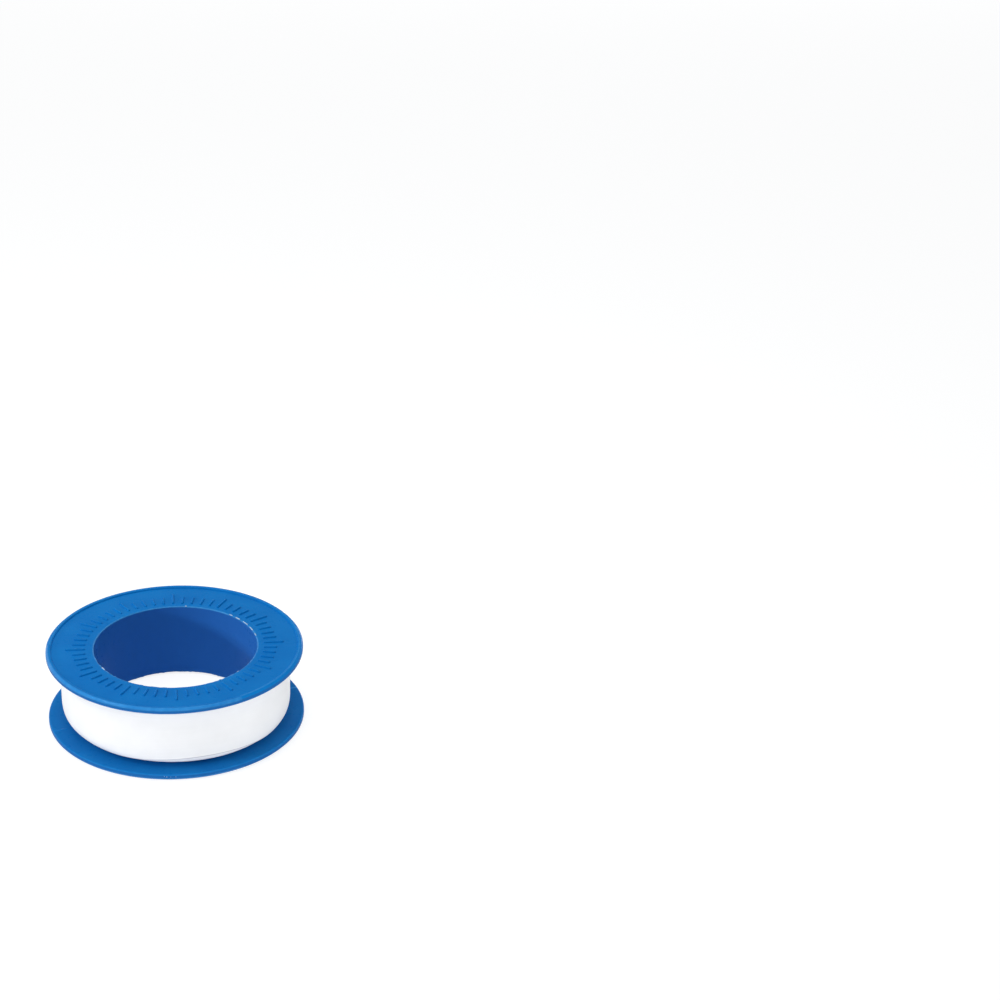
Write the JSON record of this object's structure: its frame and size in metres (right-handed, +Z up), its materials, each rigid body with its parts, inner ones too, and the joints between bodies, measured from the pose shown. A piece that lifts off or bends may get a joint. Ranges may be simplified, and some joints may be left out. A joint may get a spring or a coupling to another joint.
{
  "type": "thread seal tape roll",
  "caption": "Roll of white thread seal tape on a blue open spool: core tube, beaded flanges, wound tape and a loose end that peels off.",
  "frame": {"origin": "centre of the lower flange's rim bead, on the surface that the roll lies on", "axes": "+Z up along the spool's axis; -Y faces the viewer; the tape's loose end lies on the +Y side"},
  "size_m": [0.049, 0.049, 0.0154],
  "materials": {
    "spool_plastic": "moulded blue plastic with a soft gloss",
    "tape_film": "satin white film"
  },
  "bodies": {
    "spool": {"core_tube": "spool_plastic", "lower_flange": "spool_plastic", "upper_flange": "spool_plastic"},
    "winding": {"tape_inner_turns": "tape_film", "tape_outer_turn": "tape_film"},
    "tape_end": {"tape_end": "tape_film"}
  },
  "joints": [
    {"name": "winding_spin", "type": "hinge", "parent": "spool", "child": "winding", "pos_m": [0, 0, 0.0077], "axis": [0, 0, 1], "continuous": true},
    {"name": "tape_peel", "type": "hinge", "parent": "winding", "child": "tape_end", "pos_m": [0.01032, 0.01941, 0.0079], "axis": [0, 0, -1], "range_deg": [0, 100]}
  ]
}
